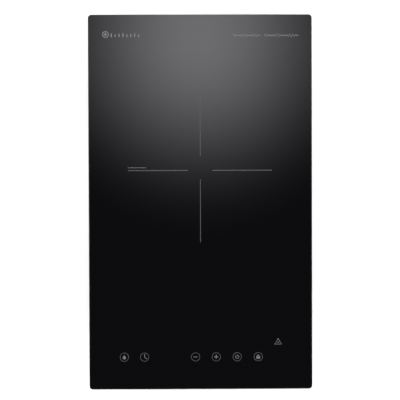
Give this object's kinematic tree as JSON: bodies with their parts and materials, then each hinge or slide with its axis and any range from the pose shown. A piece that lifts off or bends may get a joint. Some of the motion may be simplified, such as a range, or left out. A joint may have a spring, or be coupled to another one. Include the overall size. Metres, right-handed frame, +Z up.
{
  "type": "induction cooktop",
  "caption": "Built-in domino induction cooktop: black glass plate with touch keys over a vented steel case that drops into a worktop cut-out.",
  "frame": {"origin": "middle of the footprint, on the plane of the case's underside", "axes": "+Z up, +X to the user's right, -Y towards the user (the edge with the touch keys)"},
  "size_m": [0.31, 0.52, 0.056],
  "materials": {
    "glass_ceramic": "polished black glass-ceramic with fine grey printing",
    "foam_seal": "closed-cell foam",
    "silicone": "satin",
    "zinc_sheet": "hot-dip galvanised, spangled",
    "plated_steel": "bright zinc plate",
    "spring_steel": "drawn wire",
    "aluminium": "mill finish",
    "black_plastic": "moulded, fine texture",
    "white_plastic": "heat-resistant moulding",
    "litz_copper": "enamelled litz strands",
    "ferrite": "sintered, matt",
    "mica": "pressed flakes",
    "circuit_board": "green solder mask",
    "film_capacitor": "moulded box",
    "box_capacitor": "moulded box",
    "chip_epoxy": "moulded epoxy",
    "glass_sleeve": "braided glass-fibre sleeve",
    "ribbon": "flat ribbon cable"
  },
  "bodies": {
    "case": {"adhesive_bead": "silicone", "base_pan": "zinc_sheet", "board_tray": "black_plastic", "bridge_rectifier": "chip_epoxy", "cable_bush": "silicone", "case_screw_front_left": "plated_steel", "case_screw_front_right": "plated_steel", "case_screw_rear_left": "plated_steel", "case_screw_rear_right": "plated_steel", "clamp_screw_front_left": "plated_steel", "clamp_screw_front_right": "plated_steel", "clamp_screw_rear_left": "plated_steel", "clamp_screw_rear_right": "plated_steel", "coil_lead_left": "glass_sleeve", "coil_lead_right": "glass_sleeve", "coil_spring_1": "spring_steel", "coil_spring_2": "spring_steel", "coil_spring_3": "spring_steel", "control_board": "circuit_board", "control_holder": "black_plastic", "display_module": "chip_epoxy", "fan_housing": "black_plastic", "fan_motor": "plated_steel", "filter_choke": "litz_copper", "glass_frame": "black_plastic", "glass_top": "glass_ceramic", "heatsink": "aluminium", "igbt": "chip_epoxy", "mains_harness": "black_plastic", "power_board": "circuit_board", "resonant_capacitor": "film_capacitor", "ribbon_cable": "ribbon", "rim_seal": "foam_seal", "shield_bridge": "aluminium", "smoothing_capacitor": "box_capacitor", "terminal_block": "white_plastic", "terminal_cover": "black_plastic", "touch_spring_1": "spring_steel", "touch_spring_2": "spring_steel", "touch_spring_3": "spring_steel", "touch_spring_4": "spring_steel", "touch_spring_5": "spring_steel", "touch_spring_6": "spring_steel"},
    "coil_unit": {"coil_carrier": "white_plastic", "coil_winding_outer": "litz_copper", "coil_winding_inner": "litz_copper", "mica_disc": "mica", "sensor_spring": "spring_steel", "ferrite_bar_1": "ferrite", "ferrite_bar_2": "ferrite", "ferrite_bar_3": "ferrite", "ferrite_bar_4": "ferrite", "ferrite_bar_5": "ferrite", "ferrite_bar_6": "ferrite"},
    "sensor": {"sensor_cap": "white_plastic"},
    "fan_wheel": {"fan_rotor": "black_plastic"},
    "clamp_front_left": {"clamp_bracket_front_left": "plated_steel"},
    "clamp_front_right": {"clamp_bracket_front_right": "plated_steel"},
    "clamp_rear_left": {"clamp_bracket_rear_left": "plated_steel"},
    "clamp_rear_right": {"clamp_bracket_rear_right": "plated_steel"}
  },
  "joints": [
    {"name": "fan_spin", "type": "hinge", "parent": "case", "child": "fan_wheel", "pos_m": [-0.078, -0.118, 0], "axis": [0, 0, 1], "continuous": true},
    {"name": "coil_float", "type": "slide", "parent": "case", "child": "coil_unit", "axis": [0, 0, 1], "range_m": [-0.002, 0], "stiffness_N_per_m": 1850, "springref_m": 0.01, "deforming": ["coil_spring_1", "coil_spring_2", "coil_spring_3", "coil_lead_left", "coil_lead_right"]},
    {"name": "sensor_float", "type": "slide", "parent": "coil_unit", "child": "sensor", "axis": [0, 0, 1], "range_m": [-0.0015, 0], "stiffness_N_per_m": 120, "springref_m": 0.0035, "deforming": ["sensor_spring"]},
    {"name": "clamp_slide_front_left", "type": "slide", "parent": "case", "child": "clamp_front_left", "axis": [0, 0, 1], "range_m": [0, 0.014]},
    {"name": "clamp_slide_front_right", "type": "slide", "parent": "case", "child": "clamp_front_right", "axis": [0, 0, 1], "range_m": [0, 0.014]},
    {"name": "clamp_slide_rear_left", "type": "slide", "parent": "case", "child": "clamp_rear_left", "axis": [0, 0, 1], "range_m": [0, 0.014]},
    {"name": "clamp_slide_rear_right", "type": "slide", "parent": "case", "child": "clamp_rear_right", "axis": [0, 0, 1], "range_m": [0, 0.014]}
  ]
}
